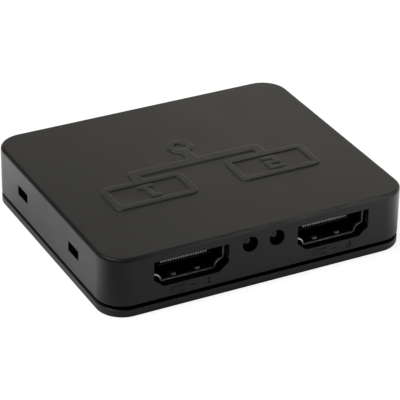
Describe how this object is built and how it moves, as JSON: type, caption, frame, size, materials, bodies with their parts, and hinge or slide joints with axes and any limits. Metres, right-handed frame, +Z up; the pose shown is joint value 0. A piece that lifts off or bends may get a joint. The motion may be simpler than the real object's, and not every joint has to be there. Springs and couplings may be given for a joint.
{
  "type": "video splitter",
  "caption": "Flat snap-together plastic box that passes a video signal from its rear input socket to numbered front outputs, with indicator lights and a circuit board inside.",
  "frame": {"origin": "middle of the flat underside, on the surface the case stands on", "axes": "+Z up, +X along the case's width to the right seen from the front, front face with the outputs along -Y"},
  "size_m": [0.0622, 0.0524, 0.0123],
  "materials": {
    "case_plastic": "fine matte moulded texture, black",
    "board_laminate": "green solder mask over copper tracks",
    "screw_steel": "plated steel",
    "socket_steel": "bright plated sheet steel",
    "insulator_plastic": "black moulded plastic",
    "contact_metal": "gold-plated copper alloy",
    "lens_amber": "tinted clear epoxy",
    "lens_green": "tinted clear epoxy",
    "lead_metal": "tinned metal",
    "chip_epoxy": "black moulding compound",
    "can_metal": "drawn metal can",
    "ferrite": "grey ferrite",
    "capacitor_ceramic": "tan ceramic",
    "resistor_ceramic": "dark glazed ceramic",
    "fuse_ceramic": "pale ceramic"
  },
  "bodies": {
    "root": {"top_cover": "case_plastic", "bottom_cover": "case_plastic", "main_board": "board_laminate", "board_screws": "screw_steel", "output_1_shell": "socket_steel", "output_1_insulator": "insulator_plastic", "output_1_contacts": "contact_metal", "output_2_shell": "socket_steel", "output_2_insulator": "insulator_plastic", "output_2_contacts": "contact_metal", "input_shell": "socket_steel", "input_insulator": "insulator_plastic", "input_contacts": "contact_metal", "power_shell": "socket_steel", "power_insulator": "insulator_plastic", "power_contacts": "contact_metal", "led_1_lens": "lens_amber", "led_1_leads": "lead_metal", "led_2_lens": "lens_green", "led_2_leads": "lead_metal", "splitter_chip": "chip_epoxy", "splitter_chip_leads": "lead_metal", "memory_chip": "chip_epoxy", "memory_chip_leads": "lead_metal", "regulator": "chip_epoxy", "regulator_leads": "lead_metal", "crystal_base": "chip_epoxy", "crystal_can": "can_metal", "bulk_capacitor_base": "chip_epoxy", "bulk_capacitor_can": "can_metal", "power_inductor": "ferrite", "power_fuse": "fuse_ceramic", "chip_capacitors": "capacitor_ceramic", "chip_capacitor_ends": "lead_metal", "chip_resistors": "resistor_ceramic", "chip_resistor_ends": "lead_metal", "surge_arrays": "chip_epoxy"}
  },
  "joints": []
}
